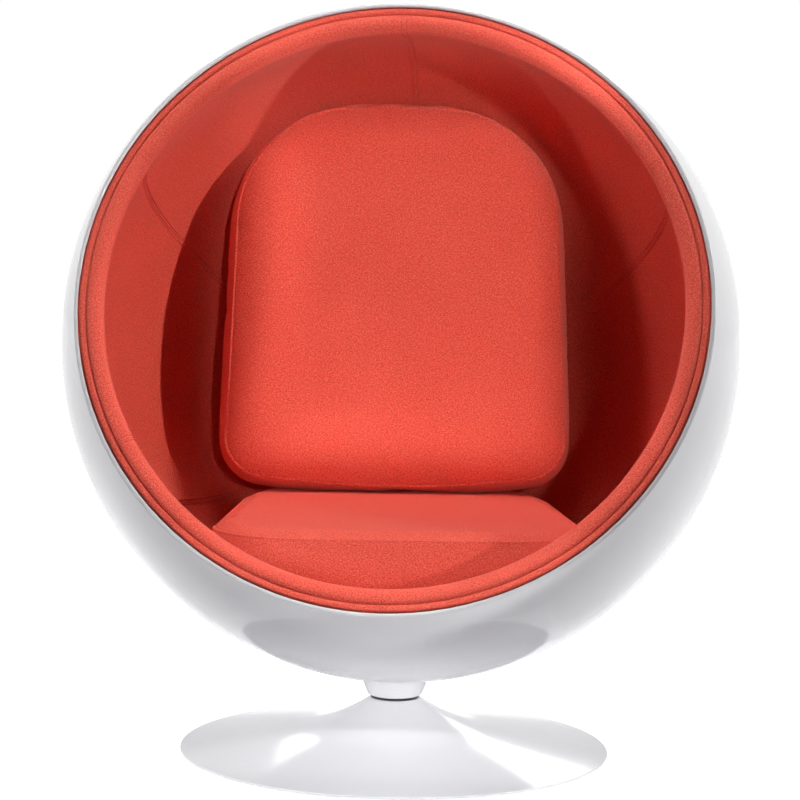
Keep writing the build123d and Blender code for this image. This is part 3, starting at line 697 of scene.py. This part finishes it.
def sew(made, marks, ridge, groove):
    """Raises the rolled edge of the front seam and sinks the stitched line beside it."""
    edge = fold(marks, ROLLED_EDGE[0], ridge, ROLLED_EDGE[1])
    line = fold(marks, STITCHED_LINE[0], groove, STITCHED_LINE[1])
    under = fold(marks, UNDER_FOLD[0], UNDER_SHARE * groove, UNDER_FOLD[1])
    raised = (edge - line - under)[:, None] * normals(made.data)
    set_coordinates(made, coordinates(made.data) + raised)


def cushion(name, shape, place, boxing, crown, limits, seam):
    """Sewn, filled cushion at its place in the chair."""
    shrink = START_SHRINK
    made, marks = cushion_mesh(name, shape, place, boxing, crown, shrink)
    keep_clear(made, *limits)
    swell(made)
    keep_clear(made, *limits)
    sew(made, marks, *seam)
    keep_clear(made, *limits)
    return made


def new_material(name):
    """Empty node material with its principled shader."""
    material = bpy.data.materials.new(name)
    material.use_nodes = True
    nodes = material.node_tree.nodes
    nodes.clear()
    output = nodes.new("ShaderNodeOutputMaterial")
    shader = nodes.new("ShaderNodeBsdfPrincipled")
    material.node_tree.links.new(shader.outputs["BSDF"], output.inputs["Surface"])
    return material, shader


def link(material, source, target):
    """Joins two sockets of a material."""
    material.node_tree.links.new(source, target)


def fill_inputs(material, node, inputs):
    """Sets a node's inputs from values, or links them to sockets."""
    for key, value in inputs.items():
        if isinstance(value, bpy.types.NodeSocket):
            link(material, value, node.inputs[key])
        else:
            node.inputs[key].default_value = value


def add_node(material, kind, inputs=None, **settings):
    """Node of a material with its settings and its inputs."""
    node = material.node_tree.nodes.new(kind)
    for key, value in settings.items():
        setattr(node, key, value)
    fill_inputs(material, node, inputs or {})
    return node


def calculate(material, operation, *values):
    """Result of a sum on values and sockets."""
    return add_node(material, "ShaderNodeMath", dict(enumerate(values)), operation=operation).outputs[0]


def noise(material, place, scale, detail):
    """Value of a noise over these coordinates."""
    inputs = {"Vector": place, "Scale": scale, "Detail": detail}
    return add_node(material, "ShaderNodeTexNoise", inputs).outputs["Fac"]


def spread_over(material, value, band, limits):
    """A value carried over from a band to other limits."""
    inputs = {
        "Value": value,
        "From Min": band[0],
        "From Max": band[1],
        "To Min": limits[0],
        "To Max": limits[1],
    }
    return add_node(material, "ShaderNodeMapRange", inputs).outputs["Result"]


def ramp(material, value, places, colours):
    """Colour ramp over a value, from the places of its colours."""
    node = add_node(material, "ShaderNodeValToRGB", {"Fac": value})
    bands = node.color_ramp.elements
    while len(bands) < len(places):
        bands.new(0.5)
    for band, place, colour in zip(bands, places, colours):
        band.position = place
        band.color = (*colour, 1.0)
    return node.outputs["Color"]


def relief(material, height, strength, depth):
    """Normals of a surface roughened by a height."""
    inputs = {"Height": height, "Strength": strength, "Distance": depth}
    return add_node(material, "ShaderNodeBump", inputs).outputs["Normal"]


def wool(name, dark, middle, light, nub):
    """Heathered wool: streaks of yarn along and across the cloth, mixed tones and a nubby surface."""
    material, shader = new_material(name)
    space = add_node(material, "ShaderNodeTexCoord")
    streaks = []
    for stretch in (YARN_STRETCH, YARN_STRETCH[::-1]):
        inputs = {"Vector": space.outputs["UV"], "Scale": (*stretch, 1.0)}
        drawn = add_node(material, "ShaderNodeMapping", inputs)
        streaks.append(noise(material, drawn.outputs["Vector"], *YARN_NOISE))
    weave = calculate(material, "ADD", *streaks)
    speck = noise(material, space.outputs["Object"], *SPECK_NOISE)
    cloud = noise(material, space.outputs["Object"], *CLOUD_NOISE)
    tone = calculate(material, "MULTIPLY_ADD", weave, YARN_SHARE, 0.0)
    tone = calculate(material, "MULTIPLY_ADD", speck, SPECK_SHARE, tone)
    tone = calculate(material, "MULTIPLY_ADD", cloud, CLOUD_SHARE, tone)
    nap = calculate(material, "MULTIPLY_ADD", speck, nub, weave)
    surface = {
        "Base Color": ramp(material, tone, TONE_STOPS, (dark, middle, light)),
        "Normal": relief(material, nap, NAP_STRENGTH, NAP_DEPTH),
    }
    fill_inputs(material, shader, surface | WOOL_SURFACE)
    return material


def coated(name, low, high, rough, peel, clear=0.0, sparkle=0.5):
    """Coat: two near tones in soft clouds, uneven gloss, a fine orange peel and a clear top coat."""
    material, shader = new_material(name)
    solid = add_node(material, "ShaderNodeTexCoord").outputs["Object"]
    cloud = noise(material, solid, *COAT_CLOUDS)
    wipe = noise(material, solid, *COAT_WIPES)
    grain = noise(material, solid, *COAT_GRAIN)
    surface = {
        "Base Color": ramp(material, cloud, NOISE_BAND, (low, high)),
        "Roughness": spread_over(material, wipe, NOISE_BAND, rough),
        "Specular IOR Level": sparkle,
        "Coat Weight": clear,
        "Coat Roughness": CLEAR_ROUGHNESS,
        "Coat IOR": CLEAR_INDEX,
        "Normal": relief(material, grain, peel, COAT_DEPTH),
    }
    fill_inputs(material, shader, surface)
    return material


def grained(name, low, high, rough, stretch, metallic=1.0):
    """Worked metal or wood: marks along one way, in tone and in gloss."""
    material, shader = new_material(name)
    solid = add_node(material, "ShaderNodeTexCoord").outputs["Object"]
    drawn = add_node(material, "ShaderNodeMapping", {"Vector": solid, "Scale": stretch})
    marks = noise(material, drawn.outputs["Vector"], *METAL_MARKS)
    surface = {
        "Base Color": ramp(material, marks, NOISE_BAND, (low, high)),
        "Roughness": spread_over(material, marks, NOISE_BAND, rough),
        "Metallic": metallic,
        "Normal": relief(material, marks, METAL_STRENGTH, METAL_DEPTH),
    }
    fill_inputs(material, shader, surface)
    return material


red_wool = wool("red wool", (0.56, 0.046, 0.032), (0.78, 0.095, 0.062), (0.92, 0.180, 0.118), nub=0.9)
red_thread = wool("red thread", (0.40, 0.030, 0.022), (0.56, 0.060, 0.042), (0.70, 0.110, 0.075), nub=0.4)
gelcoat = coated(
    "white gelcoat",
    (0.855, 0.85, 0.865),
    (0.875, 0.87, 0.88),
    (0.06, 0.09),
    peel=0.012,
    clear=0.12,
    sparkle=0.30,
)
white_paint = coated(
    "white paint",
    (0.85, 0.85, 0.872),
    (0.87, 0.87, 0.888),
    (0.10, 0.14),
    peel=0.012,
    clear=0.06,
    sparkle=0.16,
)
rubber = coated("black rubber", (0.012, 0.012, 0.012), (0.024, 0.024, 0.025), (0.60, 0.80), peel=0.30)
acetal = coated("acetal", (0.70, 0.69, 0.62), (0.78, 0.77, 0.70), (0.35, 0.50), peel=0.10)
black_paint = coated("black paint", (0.020, 0.020, 0.022), (0.035, 0.035, 0.037), (0.35, 0.55), peel=0.20)
plywood = grained(
    "birch plywood", (0.48, 0.33, 0.19), (0.64, 0.48, 0.30), (0.55, 0.75), (1.0, 12.0, 60.0), metallic=0.0
)
steel = grained("turned steel", (0.42, 0.42, 0.43), (0.58, 0.58, 0.60), (0.28, 0.45), (1.0, 1.0, 20.0))
zinc = grained("zinc plate", (0.55, 0.56, 0.58), (0.70, 0.71, 0.74), (0.25, 0.45), (3.0, 3.0, 3.0))
bearing_steel = grained(
    "ground steel", (0.60, 0.60, 0.62), (0.72, 0.72, 0.74), (0.10, 0.20), (1.0, 1.0, 30.0)
)
brass = grained("brass", (0.58, 0.42, 0.14), (0.72, 0.55, 0.22), (0.25, 0.40), (4.0, 4.0, 1.0))

NODE_MATERIALS = {
    "outer_shell": gelcoat,
    "hub_collar": white_paint,
    "foot_cone": white_paint,
    "swivel_seal": rubber,
    "floor_ring": rubber,
    "mount_pad": plywood,
    "mount_plate": steel,
    "shell_saddle": steel,
    "swivel_spindle": steel,
    "base_column": steel,
    "shell_bolts": zinc,
    "base_screws": zinc,
    "retaining_washer": zinc,
    "retaining_bolt": zinc,
    "bearing_upper_race": bearing_steel,
    "bearing_lower_race": bearing_steel,
    "bearing_balls": bearing_steel,
    "ball_cage": brass,
    "upper_bush": acetal,
    "lower_bush": acetal,
    "ballast_disc": black_paint,
}

cloth_pieces = bpy.data.collections.new("cloth pieces")


def dress(made, material):
    """Gives a piece its material."""
    made.data.materials.clear()
    made.data.materials.append(material)


def upholster(made, *nodes, fill=None):
    """Fabric piece that rides with the seat and stands for its solids."""
    dress(made, red_wool)
    cloth_pieces.objects.link(made)
    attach(made, "seat")
    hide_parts(*nodes)


for node, material in NODE_MATERIALS.items():
    dress(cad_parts[node], material)

for index in range(PANEL_COUNT):
    upholster(liner_panel(index), f"liner_panel_{index + 1}", fill=LINER_FILL)
upholster(liner_dish(), "liner_dish", fill=LINER_FILL)
upholster(rim_welt(), "rim_welt")
stitches = topstitch("liner_topstitch")
dress(stitches, red_thread)
cloth_pieces.objects.link(stitches)
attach(stitches, "seat")

seat = cushion("seat_cushion", seat_outline, place_seat, SEAT_BOXING, SEAT_CROWN, SEAT_LIMITS, SEAT_SEAM)
upholster(seat, "seat_cushion_cover", "seat_cushion_foam", fill=CUSHION_FILL)
back = cushion("back_cushion", back_outline, place_back, BACK_BOXING, BACK_CROWN, BACK_LIMITS, BACK_SEAM)
upholster(back, "back_cushion_cover", "back_cushion_foam", fill=CUSHION_FILL)


def softbox(name, shape, angle, rise, distance, target, width, height, roll, spread, power):
    """Flat lamp that faces a point, with a grid where its spread is narrow."""
    lamp = bpy.data.lights.new(name, "AREA")
    lamp.shape = shape
    lamp.size = width
    lamp.size_y = height
    lamp.energy = power
    lamp.spread = radians(spread)
    turn, tip = radians(angle), radians(rise)
    away = Vector((sin(turn) * cos(tip), -cos(turn) * cos(tip), sin(tip)))
    made = bpy.data.objects.new(name, lamp)
    facing = (-away).to_track_quat("-Z", "Y").to_matrix().to_4x4() @ Matrix.Rotation(radians(roll), 4, "Z")
    made.matrix_world = Matrix.Translation(Vector(target) + distance * away) @ facing
    bpy.context.scene.collection.objects.link(made)
    return made


def seen_directly(material):
    """One for rays from the camera, from gloss and through glass, and nought for the rest."""
    path = add_node(material, "ShaderNodeLightPath").outputs
    first = calculate(material, "MAXIMUM", path["Is Camera Ray"], path["Is Glossy Ray"])
    return calculate(material, "MAXIMUM", first, path["Is Transmission Ray"])


for name, lamp in LAMPS.items():
    made = softbox(name, *lamp)
    if name in CLOTH_LAMPS:
        made.light_linking.receiver_collection = cloth_pieces

world = bpy.data.worlds.new("studio")
bpy.context.scene.world = world
world.use_nodes = True
world.node_tree.nodes.clear()
sky = add_node(world, "ShaderNodeMixShader", {"Fac": seen_directly(world)})
fill = add_node(world, "ShaderNodeBackground", {"Color": FILL_COLOUR, "Strength": FILL_LEVEL})
white = add_node(world, "ShaderNodeBackground", {"Color": WHITE, "Strength": 1.0})
link(world, fill.outputs[0], sky.inputs[1])
link(world, white.outputs[0], sky.inputs[2])
link(world, sky.outputs[0], add_node(world, "ShaderNodeOutputWorld").inputs["Surface"])

floor_turn = np.arange(FLOOR_SIDES) * 2 * pi / FLOOR_SIDES
floor_edge = np.stack((np.cos(floor_turn), np.sin(floor_turn), np.zeros(FLOOR_SIDES)), axis=1)
floor = make_mesh("studio_floor", FLOOR_RADIUS * floor_edge, [tuple(range(FLOOR_SIDES))])
pale, pale_shader = new_material("pale floor")
fill_inputs(pale, pale_shader, {"Base Color": FLOOR_COLOUR, "Roughness": FLOOR_ROUGHNESS})
floor_place = add_node(pale, "ShaderNodeTexCoord").outputs["Object"]
floor_reach = add_node(pale, "ShaderNodeVectorMath", {0: floor_place}, operation="LENGTH").outputs["Value"]
glow_level = spread_over(pale, floor_reach, GLOW_REACH, FLOOR_GLOW)
glow_share = calculate(pale, "MULTIPLY", seen_directly(pale), glow_level)
glow = add_node(pale, "ShaderNodeEmission", {"Color": WHITE, "Strength": glow_share})
lit = add_node(pale, "ShaderNodeAddShader", {0: pale_shader.outputs[0], 1: glow.outputs[0]})
output = next(node for node in pale.node_tree.nodes if node.type == "OUTPUT_MATERIAL")
link(pale, lit.outputs[0], output.inputs["Surface"])
dress(floor, pale)

lens = bpy.data.cameras.new("camera")
lens.lens = CAMERA_LENS
lens.sensor_width = SENSOR_WIDTH
camera = bpy.data.objects.new("camera", lens)
bpy.context.scene.collection.objects.link(camera)
ahead = Vector((-CAMERA_PLACE[0], -CAMERA_PLACE[1], 0.0)).normalized()
look = ahead * cos(CAMERA_DIP) + Vector((0.0, 0.0, -sin(CAMERA_DIP)))
facing = look.to_track_quat("-Z", "Y").to_matrix().to_4x4() @ Matrix.Rotation(CAMERA_ROLL, 4, "Z")
camera.matrix_world = Matrix.Translation(CAMERA_PLACE) @ facing
bpy.context.scene.camera = camera
bpy.context.scene.view_settings.view_transform = "Standard"
